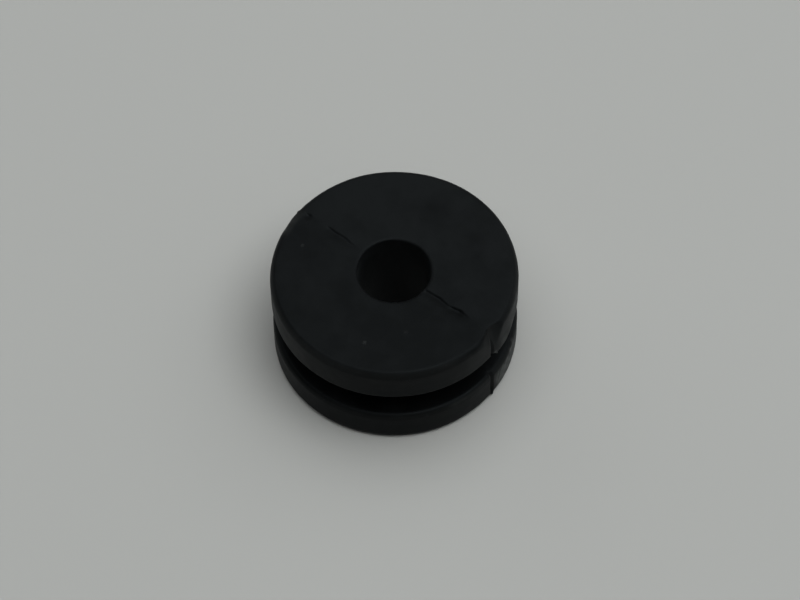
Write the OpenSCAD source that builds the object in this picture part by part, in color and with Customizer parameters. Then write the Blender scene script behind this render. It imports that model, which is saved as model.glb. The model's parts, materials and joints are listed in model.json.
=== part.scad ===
// Rubber mount: a round, grooved bush moulded in one piece.
// A panel sits in the groove between the two flanges, and a stud or spigot goes through the bore.
// The mould opens sideways, so its parting line runs up both walls and across both end faces.
// The origin is on the bore's axis at the bottom face, +Z runs up the bore, and +X along the parting line.

/* [Flanges] */
// Diameter of both flanges
flange_d = 20; // [16:0.5:30]
// Thickness of each flange
flange_t = 3.25; // [2:0.25:6]
// Radius round the rim of each end face
rim_r = 0.5; // [0.1:0.1:1]
// Radius on the edge of each flange beside the groove
lip_r = 0.3; // [0.1:0.1:0.8]

/* [Panel groove] */
// Diameter of the groove's floor, and of the hole in the panel
groove_d = 12; // [9:0.5:15]
// Width of the groove, and thickness of the panel
groove_w = 3; // [1:0.25:6]
// Fillet between the groove's floor and each flange
fillet_r = 0.4; // [0.1:0.1:1.2]

/* [Bore] */
// Diameter of the bore
bore_d = 6; // [3:0.25:8]
// Radius round each mouth of the bore
mouth_r = 0.25; // [0.1:0.05:0.6]

/* [Parting line] */
// Gap that the mould's halves stood open, which is the thickness of the flash between them
flash_t = 0.22; // [0.06:0.02:0.5]
// How far the flash stands out of the walls
flash_out = 0.15; // [0.05:0.05:0.4]
// Width of the sunken line across each end face
witness_w = 0.36; // [0.1:0.02:0.8]
// Depth of the sunken line across each end face
witness_depth = 0.12; // [0.05:0.01:0.3]

/* [Hidden] */
$fn = 96;
body_h = 2 * flange_t + groove_w;
flange_r = flange_d / 2;
groove_r = groove_d / 2;
bore_r = bore_d / 2;
// How far a cut runs past the face it opens
cut_over = 1;

// Corner of side r with a quarter disc taken out, its sharp point at the origin, reaching to +X and +Y
module spandrel(r) {
    difference() {
        square(r);
        translate([r, r]) circle(r);
    }
}

// Section of the lower flange from the axis out to its wall, with the wall moved out by proud
module flange_section(proud) {
    difference() {
        square([flange_r + proud, flange_t]);
        translate([flange_r + proud, 0]) mirror([1, 0]) spandrel(rim_r);
        translate([flange_r + proud, flange_t]) rotate(180) spandrel(lip_r);
    }
}

// Lower half of the section up to the middle of the groove, with every wall moved out by proud
module lower_section(proud) {
    flange_section(proud);
    square([groove_r + proud, body_h / 2]);
    translate([groove_r + proud, flange_t]) spandrel(fillet_r);
}

// Whole section from the axis outwards, with every wall moved out by proud
module section(proud) {
    lower_section(proud);
    translate([0, body_h]) mirror([0, 1]) lower_section(proud);
}

// What one half of the mould forms, carried out from the parting plane by half the flash
module mould_half() {
    translate([0, flash_t / 2, 0]) rotate_extrude(angle = 180) section(0);
}

// Rubber that filled the gap between the halves, standing proud of the walls as flash
module flash_web() {
    rotate([90, 0, 0]) linear_extrude(flash_t, center = true) {
        section(flash_out);
        mirror([1, 0]) section(flash_out);
    }
}

// Round core pin, which leaves the bore and the rounded mouth at each end of it
module core_pin() {
    rotate_extrude() {
        translate([0, -cut_over]) square([bore_r, body_h + 2 * cut_over]);
        translate([bore_r, 0]) spandrel(mouth_r);
        translate([bore_r, body_h]) mirror([0, 1]) spandrel(mouth_r);
    }
}

// Sunken line that the parting edges leave across the top face
module witness_line() {
    line_l = flange_d + 2 * (flash_out + cut_over);
    half_w = witness_w / 2;
    translate([0, 0, body_h]) rotate([90, 0, 90]) linear_extrude(line_l, center = true)
        polygon([[0, -witness_depth], [half_w, 0], [half_w, cut_over], [-half_w, cut_over], [-half_w, 0]]);
}

module rubber_mount() {
    color([0.1, 0.106, 0.114]) difference() {
        union() {
            mould_half();
            mirror([0, 1, 0]) mould_half();
            flash_web();
        }
        core_pin();
        witness_line();
        translate([0, 0, body_h]) mirror([0, 0, 1]) witness_line();
    }
}

rubber_mount();
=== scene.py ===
"""Looks of the rubber mount: its moulded surface, the rubber, the light and the camera."""
import json
import math

import bpy
import numpy as np
from mathutils import Matrix, Vector


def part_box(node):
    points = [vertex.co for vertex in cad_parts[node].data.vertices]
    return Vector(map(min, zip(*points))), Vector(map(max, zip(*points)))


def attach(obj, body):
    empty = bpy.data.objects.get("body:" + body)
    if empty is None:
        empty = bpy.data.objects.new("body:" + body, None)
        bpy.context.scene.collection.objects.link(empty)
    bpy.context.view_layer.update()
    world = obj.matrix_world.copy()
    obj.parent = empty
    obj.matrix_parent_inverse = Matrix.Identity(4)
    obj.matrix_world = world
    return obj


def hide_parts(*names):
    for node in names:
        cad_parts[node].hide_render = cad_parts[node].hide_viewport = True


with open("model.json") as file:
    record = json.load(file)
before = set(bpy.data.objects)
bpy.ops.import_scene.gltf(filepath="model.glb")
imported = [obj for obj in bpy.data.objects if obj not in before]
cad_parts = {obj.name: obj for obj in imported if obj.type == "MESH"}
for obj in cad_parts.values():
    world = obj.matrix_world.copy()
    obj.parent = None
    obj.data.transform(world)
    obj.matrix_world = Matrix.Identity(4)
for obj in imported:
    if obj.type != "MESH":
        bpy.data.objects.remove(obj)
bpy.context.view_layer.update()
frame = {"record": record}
MM = 0.001

# Sizes in millimetres, taken from the frame where it gives them
LOW_CORNER, HIGH_CORNER = (np.array(corner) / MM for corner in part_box("rubber_mount"))
FLASH_OUT = 0.15
FLASH_T = 2 * (HIGH_CORNER[1] - HIGH_CORNER[0] + FLASH_OUT)
FLANGE_R = HIGH_CORNER[0] - FLASH_OUT
BODY_H = HIGH_CORNER[2]
MIDDLE_H = BODY_H / 2
MOUNTS = {mount["name"]: mount for mount in frame["record"]["mounts"]}
BORE_R = MOUNTS["bore"]["dims"]["r_mm"]
FLANGE_T = 3.25
# The rims round off further down the wall than in over the face
RIM_IN = 0.5
RIM_DOWN = 0.7
UPPER_LIP_R = 0.2
LOWER_LIP_R = 0.5
GROOVE_R = 6.0
FILLET_R = 0.4
MOUTH_R = 0.25
# Beyond the bore's mouth, how far out its round shape fades into that of the two halves of the mould
ROUND_FADE = 1.0

# Columns of the mesh round each half of the mould and across the flash between the halves, and how much
# the first crowd towards the flash, from 0 to 1
HALF_COLUMNS = 168
FLASH_COLUMNS = 7
CROWDING = 0.85
# Steps of the mesh along each stretch of the section
GROOVE_FLOOR_STEPS = 6
FILLET_STEPS = 5
GROOVE_SIDE_STEPS = 13
LIP_STEPS = 9
WALL_STEPS = 14
RIM_STEPS = 14
TOP_FACE_STEPS = 60
BOTTOM_FACE_STEPS = 44
MOUTH_STEPS = 6
BORE_STEPS = 10

# A ripple is its strength, its wavelength in millimetres and the seed of its random draws. It adds up
# waves whose lengths are the wavelength divided by a number from this range
RIPPLE_WAVES = 10
RIPPLE_RANGE = (0.6, 1.5)
# Ripples of the moulded surface in millimetres, and how far its end faces lie inside the solid's
SWELL = (0.010, 5.0, 3)
DIMPLES = (0.003, 1.1, 4)
FACE_SUNK = 0.016
# A surface starts to count as facing one way at the first share of its normal, and fully at the second
FACING = (0.5, 0.95)

# The line across the top face: place along it, sideways drift and depth, in millimetres
TOP_LINE = [
    (-10.0, 0.06, 0.01),
    (-9.3, 0.06, 0.02),
    (-8.9, 0.10, 0.15),
    (-8.5, 0.10, 0.04),
    (-7.8, 0.0, 0.0),
    (-7.1, 0.10, 0.03),
    (-6.7, 0.09, 0.12),
    (-6.1, 0.04, 0.14),
    (-5.6, 0.06, 0.12),
    (-5.1, 0.07, 0.12),
    (-4.5, -0.07, 0.11),
    (-3.9, -0.06, 0.04),
    (-3.3, -0.05, 0.0),
    (3.3, 0.0, 0.15),
    (3.9, 0.02, 0.13),
    (4.6, 0.06, 0.15),
    (5.2, -0.06, 0.11),
    (5.6, -0.10, 0.08),
    (6.0, -0.02, 0.17),
    (6.6, 0.10, 0.21),
    (7.0, 0.02, 0.10),
    (7.6, -0.10, 0.05),
    (8.6, -0.16, 0.02),
    (9.2, -0.10, 0.03),
    (10.0, -0.08, 0.03),
]
# The line falls slowly on one side and rises sharply on the other
LINE_FALL = 0.38
LINE_RISE = 0.13
# How far one half's face stands below the other's, where beside the line that step is, and its reach
STEP_H = 0.04
STEP_PLACE = (-0.7, 0.12)
STEP_REACH = 2.2
# The line across the bottom face: its drift, its usual depth, the ripple of that and the greatest depth
UNDER_DRIFT = (0.08, 4.0, 31)
UNDER_DEPTH = 0.07
UNDER_RIPPLE = (0.05, 2.0, 32)
UNDER_DEEPEST = 0.12

# The flash's usual share of its full height, the ripple of that share, and the least share
FLASH_SHARE = 0.6
FLASH_RIPPLE = (0.4, 1.6, 23)
FLASH_LEAST = 0.15
# The higher this power, the flatter the flash's top and the steeper its sides
FLASH_SQUARENESS = 4
# Columns whose heading has a sine below this are on the line
FLASH_SINE = 1e-6

# The wear below is given in places, which are millimetres sideways from the parting line along the flange
# wall, and in heights from the foot. A pair says where something starts and where it is full or gone. A
# strip says where it starts, where it ends and how soft its ends are. How pale goes from 0 for clean
# rubber to 1 for worn rubber, and what adds up to more than 1 counts as 1

# The radii over which a push on the flange wall comes to be felt
PUSH_RADII = (FLANGE_R - 1.2, FLANGE_R - 0.3)

# The slits in both walls at the near end: where each starts, is deepest and ends, and its depth. The lower
# one starts a little above the foot
UPPER_SLIT = (-0.32, -0.08, 0.2)
UPPER_SLIT_DEPTH = 0.22
LOWER_SLIT = (-0.3, -0.02, 0.3)
LOWER_SLIT_DEPTH = 0.2
LOWER_SLIT_HEIGHTS = (0.5, 1.2)
# The flared lower lip of the upper flange: where it rises and falls, the heights over which it ends, and
# how far it stands out and hangs down
FLARE_RISE = (0.0, 0.6)
FLARE_FALL = (1.8, 3.8)
FLARE_END = (6.4, 7.4)
FLARE_OUT = 0.08
FLARE_DOWN = 0.25
# The notch in the top rim: where it starts, is deepest and ends, how pale it is, and where that starts
NOTCH = (-1.9, 0.3, 1.7)
NOTCH_PALE = 0.06
NOTCH_PALE_START = (-0.6, 0.6)
# The rim's worn slope reaches down the wall and in over the face by the first number, and by the second
# as well where the notch is deepest
SLOPE_DOWN = (0.15, 1.8)
SLOPE_ACROSS = (0.15, 0.52)
# How softly the slope bends over at its edges, and how much it cuts away where it counts as fully worn
SLOPE_EDGE = 0.2
SLOPE_WORN = 0.15
# The nub at the foot of the line, and the small rag on the lip beside it
NUB_PLACE = 0.02
NUB_WIDTH = 0.16
NUB_END = (0.35, 0.8)
RAG_PLACE = 0.44
RAG_WIDTH = 0.1
RAG_HEIGHT = 6.3
RAG_TALL = 0.12
RAG_OUT = 0.12
# Blotches of the wear are longer up the wall than along it, by the inverse of this
BLOTCH_SQUASH = 0.6
BLOTCHES = [(0.6, 0.9, 21), (0.4, 0.35, 25)]
# The scuffs on the lower wall: where they rise and fall along it and up it, how unevenly, how deep they
# are, how pale, and the share of that between the blotches
SCUFF_ALONG = ((0.2, 1.2), (1.6, 6.0))
SCUFF_UP = ((0.0, 0.9), (2.0, 2.9))
SCUFF_RIPPLE = (0.3, 0.9, 24)
SCUFF_DEPTH = 0.03
SCUFF_PALE = 1.1
SCUFF_LEAST = 0.3
# The rubbed strips of the upper wall, low down and over its full height, and of the lower flange's lip:
# how pale, and the strip. Between the blotches they have that share of it
LOW_RUBS = [(0.02, (0.6, 3.6, 0.5)), (0.12, (1.2, 2.0, 0.3))]
LOW_RUBS_END = (7.2, 9.0)
FULL_RUB = (0.08, (-3.0, 0.0, 0.5))
LIP_RUB = (0.12, (-4.3, -0.3, 0.5))
RUB_LEAST = 0.6
# Normals that count as the wall's, and the lip's strip of heights and its radii
WALL_NORMALS = (0.8, 1.0)
LIP_HEIGHTS = (FLANGE_T - 0.45, FLANGE_T - 0.14, 0.1)
LIP_RADII = (FLANGE_R - 0.4, FLANGE_R - 0.15)

# The rubbed rim at the far end: its strip, how much rounder and paler it is, the usual share of that, the
# ripple of that share, and what counts as the rim
FAR_STRIP = (-2.4, -0.3, 1.0)
FAR_ROUNDING = 0.3
FAR_PALE = 0.2
FAR_SHARE = 0.75
FAR_RIPPLE = (0.25, 1.2, 22)
FAR_RADII = (FLANGE_R - 0.9, FLANGE_R - 0.45)
FAR_HEIGHTS = (BODY_H - 1.2, BODY_H - 0.5)

# The edges that face up get painted light, which lifts the dark band of shade along them: how pale it makes
# them, the strip of normals and the radii that count, and the cosines of heading over which the top rim's
# own worn end takes over
EDGE_PAINTED_LIGHT = 0.075
EDGE_NORMALS = (0.25, 0.75, 0.2)
EDGE_RADII = (FLANGE_R - 0.7, FLANGE_R - 0.5)
WORN_END = (0.9, 0.99)

# Bloom on the rubber, with painted light over it, from 0 for none to 1: the usual amount, how much paler one
# half is, and where that half starts. Patches of more or less: middle, size in millimetres and change. The
# paler half and the first two patches are painted light as well as bloom, paler on the side of the top away
# from the camera and darker on the side nearest it; the other patches are mottles of the bloom
BLOOM = 0.3
HALF_BLOOM_AND_LIGHT = 0.28
HALF_BLOOM_AND_LIGHT_START = (-0.2, 0.4)
BLOOM_AND_LIGHT_PATCHES = [
    (-6.0, 7.5, 6.0, 0.6),
    (8.0, -3.0, 5.0, -0.25),
    (-1.5, 6.75, 1.1, -0.5),
    (3.3, 6.55, 1.0, -0.5),
    (0.98, 3.53, 0.5, 0.4),
]

# Pale specks of dust and torn rubber: place and size in millimetres, and strength
SPECKS = [
    ((2.32, -6.88, 9.5), 0.24, 0.2),
    ((-7.42, -2.55, 9.5), 0.22, 0.18),
    ((4.34, -4.13, 9.5), 0.25, 0.1),
    ((8.77, -4.65, 9.4), 0.22, 0.18),
    ((9.18, -3.97, 6.61), 0.2, 0.2),
    ((7.94, -6.07, 2.83), 0.22, 0.2),
    ((9.97, 0.37, 6.4), 0.3, 0.8),
    ((9.93, 1.6, 6.7), 0.8, 0.45),
    ((9.88, 1.55, 2.15), 0.5, 0.95),
    ((9.88, 1.41, 0.88), 0.3, 0.9),
    ((9.92, 1.10, 0.45), 0.3, 0.8),
    ((9.75, 2.20, 2.45), 0.3, 0.8),
]
# Noise moves the specks' outlines by up to half of this many millimetres either way
SPECK_BEND = 0.5

# Colours of clean rubber at its darkest and at its palest, between which bloom and painted light set it, of
# worn rubber, which the painted light on the up-facing edges also takes, and the cool cast of what it
# reflects
CLEAN_DARK = (0.0016, 0.0018, 0.0019)
CLEAN_PALE = (0.0046, 0.0052, 0.0055)
WORN_AND_PAINTED_LIGHT = (0.07, 0.074, 0.072)
COOL = (0.86, 1.0, 1.05)
SPECULAR = 0.06
SHEEN = 0.01
# Settings of the noises, with scales per metre
SPECK_NOISE = {"Scale": 9000.0, "Detail": 2.0}
MOTTLE_NOISE = {"Scale": 380.0, "Detail": 5.0, "Roughness": 0.6}
GRAIN_NOISE = {"Scale": 7000.0, "Detail": 3.0, "Roughness": 0.55}
# The range of the mottle that is used, the bloom that it takes and adds, and the roughness that it gives
MOTTLE_RANGE = (0.35, 0.65)
MOTTLE_BLOOM = (-0.45, 0.45)
MOTTLE_ROUGHNESS = (0.44, 0.54)
GRAIN_H = 0.02
GRAIN_STRENGTH = 0.25

# The camera's heading is degrees anticlockwise from the front, and lengths are millimetres
CAM_HEADING = 38.7
CAM_ELEVATION = 56.8
CAM_DISTANCE = 260.0
CAM_LENS = 142.6
CAM_SENSOR = 36.0
CAM_ROLL = 1.1
# Where the picture's centre lies from the middle of the mount: right and up
AIM_RIGHT = 0.427
AIM_UP = 0.2

# Floor and backdrop
PALE = (0.381, 0.391, 0.379)
FLOOR_HALF = 3000.0
# Round softboxes, all at one distance: name, degrees anticlockwise from the camera's heading, degrees up,
# diameter in millimetres and power in watts
SOFTBOX_DISTANCE = 1000.0
BROAD = 1400.0
NARROW = 600.0
SOFTBOXES = [
    ("overhead_light", 0, 90, BROAD, 6.0),
    ("key_light", 60, 68, NARROW, 2.3),
    ("high_front_light", 45, 65, BROAD, 1.6),
    ("high_back_light", 135, 65, BROAD, 3.9),
    ("right_light", 90, 15, BROAD, 1.3),
    ("back_right_light", 135, 15, BROAD, 1.4),
    ("back_left_light", 225, 15, BROAD, 2.6),
]


def ripple(points, strength, wavelength, seed):
    """Smooth waves of about that length in mixed directions, from about -strength to strength."""
    rng = np.random.default_rng(seed)
    points = np.asarray(points, float)
    total = np.zeros(len(points))
    for _ in range(RIPPLE_WAVES):
        direction = rng.normal(size=points.shape[1])
        direction *= 2 * math.pi / wavelength / np.linalg.norm(direction) * rng.uniform(*RIPPLE_RANGE)
        total += np.sin(points @ direction + rng.uniform(0, 2 * math.pi))
    return strength * (total / math.sqrt(RIPPLE_WAVES))


def bump(distance, width):
    """Bell curve of that half width."""
    return np.exp(-((distance / width) ** 2))


def ease(value, low, high):
    """0 below low, 1 above high, and smooth between."""
    t = np.clip((value - low) / (high - low), 0, 1)
    return t * t * (3 - 2 * t)


def span(value, rise, fall):
    """0 to 1 over the rise, and back to 0 over the fall."""
    return ease(value, *rise) * (1 - ease(value, *fall))


def window(value, low, high, soft):
    """1 from low to high, and 0 beyond, with soft ends."""
    return span(value, (low - soft, low + soft), (high - soft, high + soft))


def torn(place, start, deepest, end):
    """0 to 1 down to the deepest place of a torn strip and back, steeper on its shorter side."""
    fall = (place - start) / (deepest - start)
    rise = (end - place) / (end - deepest)
    return ease(np.minimum(fall, rise), 0, 1)


def straight(start, end, steps):
    """Points from start towards end, without the end."""
    t = np.arange(steps)[:, None] / steps
    return np.array(start) * (1 - t) + np.array(end) * t


def arc(centre, radius, start, end, steps):
    """Points along an arc from start to end in degrees, without the end."""
    a = np.radians(start + (end - start) * np.arange(steps) / steps)
    return np.column_stack([centre[0] + radius * np.cos(a), centre[1] + radius * np.sin(a)])


def half_section(face_steps, lip_r):
    """Radius and height from the middle of the groove's floor, over the flange to the middle of the bore."""
    top = MIDDLE_H
    under = top - FLANGE_T
    mouth = BORE_R + MOUTH_R
    rim = arc((0, 0), 1, 0, 90, RIM_STEPS) * (RIM_IN, RIM_DOWN) + (FLANGE_R - RIM_IN, top - RIM_DOWN)
    return np.concatenate([
        straight((GROOVE_R, 0), (GROOVE_R, under - FILLET_R), GROOVE_FLOOR_STEPS),
        arc((GROOVE_R + FILLET_R, under - FILLET_R), FILLET_R, 180, 90, FILLET_STEPS),
        straight((GROOVE_R + FILLET_R, under), (FLANGE_R - lip_r, under), GROOVE_SIDE_STEPS),
        arc((FLANGE_R - lip_r, under + lip_r), lip_r, -90, 0, LIP_STEPS),
        straight((FLANGE_R, under + lip_r), (FLANGE_R, top - RIM_DOWN), WALL_STEPS),
        rim,
        straight((FLANGE_R - RIM_IN, top), (mouth, top), face_steps),
        arc((mouth, top - MOUTH_R), MOUTH_R, 90, 180, MOUTH_STEPS),
        straight((BORE_R, top - MOUTH_R), (BORE_R, 0), BORE_STEPS),
    ])


def section():
    """The closed section, from the groove's floor over the top flange, down the bore and back under."""
    upper = half_section(TOP_FACE_STEPS, UPPER_LIP_R)
    lower = half_section(BOTTOM_FACE_STEPS, LOWER_LIP_R)[::-1] * (1, -1)
    lower = np.roll(lower, 1, axis=0)
    lower[0] = (BORE_R, 0)
    return np.concatenate([upper, lower]) + (0, MIDDLE_H)


def section_normals(points):
    """Outward normals of the closed section."""
    along = np.roll(points, -1, axis=0) - np.roll(points, 1, axis=0)
    normals = np.column_stack([along[:, 1], -along[:, 0]])
    return normals / np.linalg.norm(normals, axis=1)[:, None]


def columns():
    """Heading and sideways place of each column: half a turn, the flash, the other half turn, the flash."""
    u = np.linspace(0, 1, HALF_COLUMNS + 1)
    turn = math.pi * (CROWDING * (1 - np.cos(math.pi * u)) / 2 + (1 - CROWDING) * u)
    across = np.linspace(1, -1, FLASH_COLUMNS + 2)[1:-1] * FLASH_T / 2
    side = np.full(HALF_COLUMNS + 1, FLASH_T / 2)
    far, near = np.full(FLASH_COLUMNS, math.pi), np.zeros(FLASH_COLUMNS)
    heading = np.concatenate([turn, far, math.pi + turn, near])
    return heading, np.concatenate([side, across, -side, -across])


class Surface:
    """Every point of the moulded surface: its section, its heading, and what the wear and the light painted
    on its edges do to it.
    """

    def __init__(self):
        ring = section()
        heading, side = columns()
        self.shape = (len(heading), len(ring))
        self.heading = np.repeat(heading, len(ring))
        self.side = np.repeat(side, len(ring))
        self.radius, self.height = np.tile(ring, (len(heading), 1)).T
        self.normal_r, self.normal_z = np.tile(section_normals(ring), (len(heading), 1)).T
        # Sideways place from the parting line, at the flange wall of the end that is nearer
        self.place = FLANGE_R * np.sin(self.heading) + self.side
        self.near = np.cos(self.heading) > 0
        self.near_upper = self.near & (self.height > MIDDLE_H)
        self.near_lower = self.near & (self.height < MIDDLE_H)
        self.wear = np.zeros(len(self.heading))

    def points(self):
        """Millimetres in the part's frame, with the bore kept round."""
        x = self.radius * np.cos(self.heading)
        y = self.radius * np.sin(self.heading) + self.side
        mouth = BORE_R + MOUTH_R
        round_share = 1 - ease(self.radius, mouth, mouth + ROUND_FADE)
        stretch = 1 + (self.radius / np.hypot(x, y) - 1) * round_share
        return np.column_stack([x * stretch, y * stretch, self.height])

    def normals(self):
        """Outward normals of the plain section, without wear."""
        x = self.normal_r * np.cos(self.heading)
        y = self.normal_r * np.sin(self.heading)
        return np.column_stack([x, y, self.normal_z])

    def round_top_rim(self, size):
        """Pulls the top rim in to an arc of that size."""
        out = self.radius - (FLANGE_R - size)
        up = self.height - (BODY_H - size)
        reach = np.hypot(out, up)
        cut = (out > 0) & (up > 0) & (reach > size)
        back = np.where(cut, 1 - size / np.maximum(reach, size), 0)
        self.radius -= out * back
        self.height -= up * back

    def slope_top_rim(self, down, across):
        """Cuts the top rim off along a slope that reaches that far down and across, and says where."""
        length = np.hypot(down, across)
        over = ((self.radius - FLANGE_R) * down + (self.height - BODY_H + down) * across) / length
        bend = np.clip(over + SLOPE_EDGE, 0, 2 * SLOPE_EDGE)
        cut = bend ** 2 / (4 * SLOPE_EDGE) + np.maximum(over - SLOPE_EDGE, 0)
        self.radius -= cut * down / length
        self.height -= cut * across / length
        return ease(over, 0, SLOPE_WORN)

    def outer_share(self):
        """How much each point belongs to the flange wall and what lies just inside it."""
        return ease(self.radius, *PUSH_RADII)

    def push_wall(self, outward):
        """Moves the flange wall, and what lies just inside it, outward."""
        self.radius += outward * self.outer_share()


def patchy(blotch, least):
    """That least share between the blotches, and 1 in the middle of one."""
    return least + (1 - least) * blotch


def rub(place, pale, strip):
    """How pale a strip along the wall is rubbed."""
    return pale * window(place, *strip)


def slit_walls(surface):
    """The slits in both flange walls at the near end of the line."""
    depth = UPPER_SLIT_DEPTH * torn(surface.place, *UPPER_SLIT)
    surface.push_wall(np.where(surface.near_upper, -depth, 0))
    depth = LOWER_SLIT_DEPTH * torn(surface.place, *LOWER_SLIT) * ease(surface.height, *LOWER_SLIT_HEIGHTS)
    surface.push_wall(np.where(surface.near_lower, -depth, 0))


def lip_flare(surface):
    """How much each point takes part in the flare of the upper flange's lower lip."""
    beside_line = np.where(surface.near_upper, span(surface.place, FLARE_RISE, FLARE_FALL), 0)
    return beside_line * surface.outer_share() * (1 - ease(surface.height, *FLARE_END))


def cut_notch(surface):
    """The rim worn down beside the near end of the line. Says where the notch is worn."""
    notch = np.where(surface.near, torn(surface.place, *NOTCH), 0)
    down, across = (least + more * notch for least, more in (SLOPE_DOWN, SLOPE_ACROSS))
    return surface.slope_top_rim(down, across) * notch


def raise_nub_and_rag(surface):
    """The nub at the foot of the line and the small rag on the lip above it. Says where the rag is."""
    nub = bump(surface.place - NUB_PLACE, NUB_WIDTH) * (1 - ease(surface.height, *NUB_END))
    surface.push_wall(np.where(surface.near_lower, FLASH_OUT * nub, 0))
    rag = bump(surface.place - RAG_PLACE, RAG_WIDTH) * bump(surface.height - RAG_HEIGHT, RAG_TALL)
    surface.push_wall(np.where(surface.near_upper, RAG_OUT * rag, 0))
    return rag


def scuff_lower_wall(surface, spot, blotch):
    """The scuffs on the lower wall. Says where they are."""
    uneven = ripple(spot, *SCUFF_RIPPLE)
    scuff = span(surface.place + uneven, *SCUFF_ALONG) * span(surface.height + uneven, *SCUFF_UP)
    surface.push_wall(np.where(surface.near_lower, -SCUFF_DEPTH * scuff * blotch, 0))
    return scuff


def wear_near_end(surface):
    """The slits, the flared lip, the notch, the nub, the rag and the scuffs, and how pale they are."""
    slit_walls(surface)
    flare = lip_flare(surface)
    surface.radius += FLARE_OUT * flare
    worn = cut_notch(surface)
    rag = raise_nub_and_rag(surface)
    place, height = surface.place, surface.height
    spot = np.column_stack([place, BLOTCH_SQUASH * height])
    blotch = ease(sum(ripple(spot, *blotches) for blotches in BLOTCHES), -1.0, 1.0)
    scuff = scuff_lower_wall(surface, spot, blotch)
    low_rub = sum(rub(place, *low) for low in LOW_RUBS) * (1 - ease(height, *LOW_RUBS_END))
    rubbed = (low_rub + rub(place, *FULL_RUB)) * patchy(blotch, RUB_LEAST)
    rubbed *= ease(surface.normal_r, *WALL_NORMALS) * (1 - worn)
    notch_rub = NOTCH_PALE * worn * ease(place, *NOTCH_PALE_START)
    lip = window(height, *LIP_HEIGHTS) * ease(surface.radius, *LIP_RADII)
    lip_rub = rub(place, *LIP_RUB) * lip * patchy(blotch, RUB_LEAST)
    scuffed = SCUFF_PALE * scuff * patchy(blotch, SCUFF_LEAST)
    surface.wear += np.where(surface.near_lower, scuffed + lip_rub, 0)
    surface.wear += np.where(surface.near_upper, rag + rubbed + notch_rub, 0)
    # The lip hangs down last, so that the wear above keeps its place on the wall
    surface.height -= FLARE_DOWN * flare


def wear_far_end(surface):
    """The rubbed rim beside the line's other end."""
    spot = np.column_stack([surface.place, surface.height])
    rubbed = np.where(surface.near, 0, window(surface.place, *FAR_STRIP))
    rubbed = rubbed * (FAR_SHARE + ripple(spot, *FAR_RIPPLE))
    surface.round_top_rim(RIM_IN + FAR_ROUNDING * rubbed)
    on_rim = ease(surface.radius, *FAR_RADII) * ease(surface.height, *FAR_HEIGHTS)
    surface.wear += FAR_PALE * rubbed * on_rim


def paint_light_on_edges(surface):
    """Paints light on the edges that face up, making them paler: the lower flange's lip, and the top rim
    away from its worn end.
    """
    facing_up = window(surface.normal_z, *EDGE_NORMALS) * (surface.normal_r > 0)
    outer = ease(surface.radius, *EDGE_RADII)
    worn_end = np.where(surface.height > MIDDLE_H, ease(np.cos(surface.heading), *WORN_END), 0)
    # Painted light, added in with the wear: paler up-facing edges
    surface.wear += EDGE_PAINTED_LIGHT * facing_up * outer * (1 - worn_end)


def raise_flash(surface):
    """Ragged flash on the groove's floor, and on both flange walls of the far end."""
    on_line = np.abs(np.sin(surface.heading)) < FLASH_SINE
    across = np.where(on_line, 1 - (2 * surface.side / FLASH_T) ** FLASH_SQUARENESS, 0)
    ragged = FLASH_SHARE + ripple(surface.height[:, None], *FLASH_RIPPLE)
    out = FLASH_OUT * np.clip(ragged, FLASH_LEAST, 1) * across
    surface.push_wall(np.where(surface.near, 0, out * ease(surface.normal_r, *FACING)))
    in_groove = (surface.radius < GROOVE_R + FILLET_R / 2) & (surface.normal_r > 0)
    surface.radius += np.where(in_groove, out * surface.normal_r, 0)


def line_depth(points):
    """How far the parting line sinks each point of the top face."""
    line = np.array(TOP_LINE)
    drift = np.interp(points[:, 0], line[:, 0], line[:, 1])
    depth = np.interp(points[:, 0], line[:, 0], line[:, 2])
    off = points[:, 1] - drift
    step = STEP_H * (1 - ease(off, *STEP_PLACE)) * bump(np.minimum(off, 0), STEP_REACH)
    return depth * bump(off, np.where(off < 0, LINE_FALL, LINE_RISE)) + step


def under_line_depth(points):
    """How far the parting line sinks each point of the bottom face."""
    along = points[:, :1]
    off = points[:, 1] - ripple(along, *UNDER_DRIFT)
    return np.clip(UNDER_DEPTH + ripple(along, *UNDER_RIPPLE), 0, UNDER_DEEPEST) * bump(off, LINE_RISE)


def bloom(points):
    """How much bloom each point has, with painted light in it: paler on the far half and the far side of the
    top, darker on its near side.
    """
    amount = BLOOM + HALF_BLOOM_AND_LIGHT * ease(points[:, 1], *HALF_BLOOM_AND_LIGHT_START)
    for x, y, size, change in BLOOM_AND_LIGHT_PATCHES:
        amount += change * bump(np.hypot(points[:, 0] - x, points[:, 1] - y), size)
    return np.clip(amount, 0, 1)


def grid_mesh(name, points):
    """A closed mesh over a grid that joins up both ways."""
    rows, cols = points.shape[:2]
    index = np.arange(rows * cols).reshape(rows, cols)
    right, up = np.roll(index, -1, axis=0), np.roll(index, -1, axis=1)
    corner = np.roll(up, -1, axis=0)
    faces = np.stack([index, up, corner, right], 2).reshape(-1, 4)[:, ::-1]
    mesh = bpy.data.meshes.new(name)
    mesh.from_pydata((points.reshape(-1, 3) * MM).tolist(), [], faces.tolist())
    mesh.polygons.foreach_set("use_smooth", np.ones(len(faces), bool))
    mesh.update()
    return mesh


def add_values(mesh, name, values):
    """Keeps one number a point under that name, for the material to read."""
    mesh.attributes.new(name, "FLOAT", "POINT").data.foreach_set("value", values.astype(np.float32))


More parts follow.
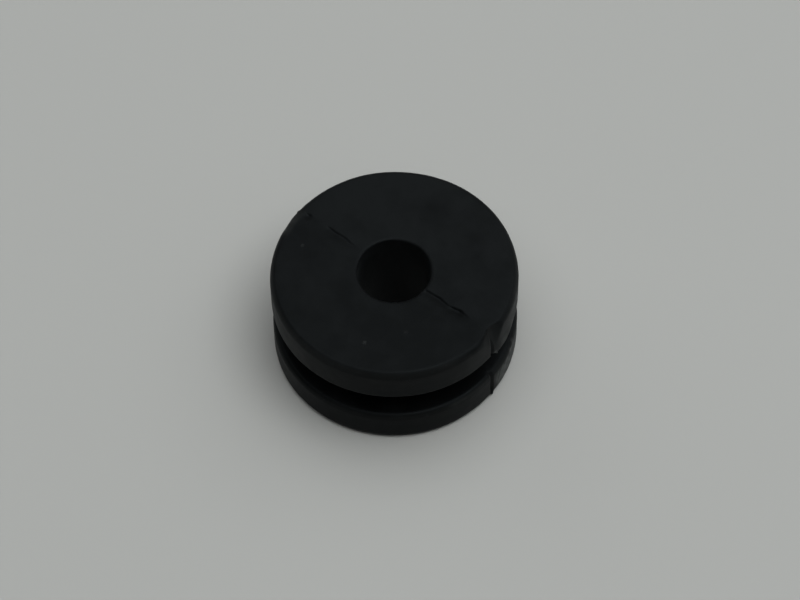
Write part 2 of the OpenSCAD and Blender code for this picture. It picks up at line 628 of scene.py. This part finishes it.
def mount_mesh():
    """The mount's closed surface, worn and kept inside the solid's box, with its wear and bloom and the
    light painted on them.
    """
    surface = Surface()
    wear_far_end(surface)
    wear_near_end(surface)
    paint_light_on_edges(surface)
    raise_flash(surface)
    points, normals = surface.points(), surface.normals()
    facing_up = ease(normals[:, 2], *FACING) * ease(points[:, 2], MIDDLE_H, BODY_H - RIM_DOWN)
    facing_down = ease(-normals[:, 2], *FACING) * (1 - ease(points[:, 2], RIM_DOWN, MIDDLE_H))
    out = ripple(points, *SWELL) + ripple(points, *DIMPLES) - FACE_SUNK * (facing_up + facing_down)
    out -= facing_up * line_depth(points) + facing_down * under_line_depth(points)
    points = np.clip(points + normals * out[:, None], LOW_CORNER, HIGH_CORNER)
    mesh = grid_mesh("rubber_mount_moulded", points.reshape(*surface.shape, 3))
    # The wear values carry the light painted on the up-facing edges, and the bloom values the light painted
    # across the top
    add_values(mesh, "wear", np.clip(surface.wear, 0, 1))
    add_values(mesh, "bloom", bloom(points))
    return mesh


def link(tree, source, target):
    tree.links.new(source, target)


def add(tree, kind, **values):
    """A node of that kind with those settings, and inputs set by name or number."""
    node = tree.nodes.new(kind)
    for key, value in values.pop("inputs", {}).items():
        node.inputs[key].default_value = value
    for key, value in values.items():
        setattr(node, key, value)
    return node


def noise(tree, place, settings):
    """Noise over the mount with those settings."""
    node = add(tree, "ShaderNodeTexNoise", inputs=settings)
    link(tree, place, node.inputs["Vector"])
    return node


def mottled(tree, mottle, low, high):
    """A value that goes from low to high with the mottle."""
    node = add(tree, "ShaderNodeMapRange", inputs={
        "From Min": MOTTLE_RANGE[0], "From Max": MOTTLE_RANGE[1], "To Min": low, "To Max": high})
    link(tree, mottle.outputs["Fac"], node.inputs["Value"])
    return node.outputs["Result"]


def mix_colours(tree, share, first, second):
    """The first colour where share is 0 and the second where it is 1. A colour is a socket or a tuple."""
    mix = add(tree, "ShaderNodeMix", data_type="RGBA")
    link(tree, share, mix.inputs["Factor"])
    for socket, colour in ((mix.inputs[6], first), (mix.inputs[7], second)):
        if isinstance(colour, tuple):
            socket.default_value = (*colour, 1)
        else:
            link(tree, colour, socket)
    return mix.outputs[2]


def add_specks(tree, place, pale):
    """The larger of pale and each speck's own strength, which fades out from the speck's middle."""
    bend = add(tree, "ShaderNodeVectorMath", operation="MULTIPLY_ADD")
    link(tree, noise(tree, place, SPECK_NOISE).outputs["Color"], bend.inputs[0])
    bend.inputs[1].default_value = [SPECK_BEND * MM] * 3
    link(tree, place, bend.inputs[2])
    for middle, size, strength in SPECKS:
        gap = add(tree, "ShaderNodeVectorMath", operation="DISTANCE")
        link(tree, bend.outputs["Vector"], gap.inputs[0])
        # The noise is a half on average, so half the bend is added to each middle too
        gap.inputs[1].default_value = [(value + SPECK_BEND / 2) * MM for value in middle]
        fade = add(tree, "ShaderNodeMapRange", interpolation_type="SMOOTHSTEP", inputs={
            "From Max": size * MM, "To Min": strength, "To Max": 0.0})
        link(tree, gap.outputs["Value"], fade.inputs["Value"])
        larger = add(tree, "ShaderNodeMath", operation="MAXIMUM")
        link(tree, pale, larger.inputs[0])
        link(tree, fade.outputs["Result"], larger.inputs[1])
        pale = larger.outputs["Value"]
    return pale


def rubber_colour(tree, place, mottle):
    """Black rubber with mottled bloom, paler where it is worn and at the specks, and with painted light:
    paler up-facing edges, and a top paler on its far side and darker on its near side.
    """
    amount = add(tree, "ShaderNodeMath", operation="ADD", use_clamp=True)
    link(tree, add(tree, "ShaderNodeAttribute", attribute_name="bloom").outputs["Fac"], amount.inputs[0])
    link(tree, mottled(tree, mottle, *MOTTLE_BLOOM), amount.inputs[1])
    clean = mix_colours(tree, amount.outputs["Value"], CLEAN_DARK, CLEAN_PALE)
    wear = add(tree, "ShaderNodeAttribute", attribute_name="wear")
    pale = add_specks(tree, place, wear.outputs["Fac"])
    return mix_colours(tree, pale, clean, WORN_AND_PAINTED_LIGHT)


def rubber_material():
    material = bpy.data.materials.new("black_rubber")
    material.use_nodes = True
    tree = material.node_tree
    shader = tree.nodes["Principled BSDF"]
    shader.inputs["Specular IOR Level"].default_value = SPECULAR
    shader.inputs["Specular Tint"].default_value = (*COOL, 1)
    shader.inputs["Sheen Weight"].default_value = SHEEN
    shader.inputs["Sheen Tint"].default_value = (*COOL, 1)
    place = add(tree, "ShaderNodeTexCoord").outputs["Object"]
    mottle = noise(tree, place, MOTTLE_NOISE)
    link(tree, rubber_colour(tree, place, mottle), shader.inputs["Base Color"])
    link(tree, mottled(tree, mottle, *MOTTLE_ROUGHNESS), shader.inputs["Roughness"])
    grain = add(tree, "ShaderNodeBump", inputs={"Strength": GRAIN_STRENGTH, "Distance": GRAIN_H * MM})
    link(tree, noise(tree, place, GRAIN_NOISE).outputs["Fac"], grain.inputs["Height"])
    link(tree, grain.outputs["Normal"], shader.inputs["Normal"])
    return material


def floor_material():
    """A plain pale colour without any gloss."""
    material = bpy.data.materials.new("pale_floor")
    material.use_nodes = True
    shader = material.node_tree.nodes["Principled BSDF"]
    shader.inputs["Base Color"].default_value = (*PALE, 1)
    shader.inputs["Roughness"].default_value = 1.0
    shader.inputs["Specular IOR Level"].default_value = 0.0
    return material


def add_object(name, data):
    thing = bpy.data.objects.new(name, data)
    bpy.context.scene.collection.objects.link(thing)
    return thing


def towards(heading, elevation):
    """Unit vector to a place at that heading, in degrees anticlockwise from the camera's, and elevation."""
    h, e = math.radians(CAM_HEADING + heading), math.radians(elevation)
    return Vector((math.sin(h) * math.cos(e), -math.cos(h) * math.cos(e), math.sin(e)))


def aim(eye, target, roll=0.0):
    """Matrix of a camera or lamp at eye that looks at target, rolled clockwise by that many degrees."""
    turn = (Vector(target) - Vector(eye)).to_track_quat("-Z", "Y").to_matrix().to_4x4()
    return Matrix.Translation(eye) @ turn @ Matrix.Rotation(math.radians(-roll), 4, "Z")


def add_camera():
    data = bpy.data.cameras.new("camera")
    data.lens = CAM_LENS
    data.sensor_width = CAM_SENSOR
    camera = add_object("camera", data)
    middle = Vector((0, 0, MIDDLE_H)) * MM
    eye = middle + towards(0, CAM_ELEVATION) * CAM_DISTANCE * MM
    turn = aim(eye, middle).to_3x3()
    target = middle + (turn.col[0] * AIM_RIGHT + turn.col[1] * AIM_UP) * MM
    camera.matrix_world = aim(eye, target, CAM_ROLL)
    bpy.context.scene.camera = camera


def add_softbox(name, heading, elevation, size, power):
    """A round soft light that faces the mount and that the camera doesn't see."""
    data = bpy.data.lights.new(name, "AREA")
    data.shape = "DISK"
    data.size = size * MM
    data.energy = power
    lamp = add_object(name, data)
    lamp.matrix_world = aim(towards(heading, elevation) * SOFTBOX_DISTANCE * MM, (0, 0, 0))
    lamp.visible_camera = False


def add_world():
    """A world that gives no light, and shows as the pale backdrop where the camera sees past the floor."""
    world = bpy.data.worlds.new("world")
    bpy.context.scene.world = world
    world.use_nodes = True
    tree = world.node_tree
    dark = tree.nodes["Background"]
    dark.inputs["Strength"].default_value = 0.0
    shown = add(tree, "ShaderNodeBackground", inputs={"Color": (*PALE, 1)})
    path = add(tree, "ShaderNodeLightPath")
    mix = add(tree, "ShaderNodeMixShader")
    link(tree, path.outputs["Is Camera Ray"], mix.inputs[0])
    link(tree, dark.outputs[0], mix.inputs[1])
    link(tree, shown.outputs[0], mix.inputs[2])
    link(tree, mix.outputs[0], tree.nodes["World Output"].inputs["Surface"])


def add_floor():
    mesh = bpy.data.meshes.new("floor")
    half = FLOOR_HALF * MM
    corners = [(-half, -half, 0), (half, -half, 0), (half, half, 0), (-half, half, 0)]
    mesh.from_pydata(corners, [], [(0, 1, 2, 3)])
    mesh.materials.append(floor_material())
    add_object("floor", mesh)


mount = add_object("rubber_mount_moulded", mount_mesh())
mount.data.materials.append(rubber_material())
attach(mount, "root")
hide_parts("rubber_mount")

add_floor()
add_world()
for softbox in SOFTBOXES:
    add_softbox(*softbox)
add_camera()
bpy.context.scene.view_settings.view_transform = "Standard"
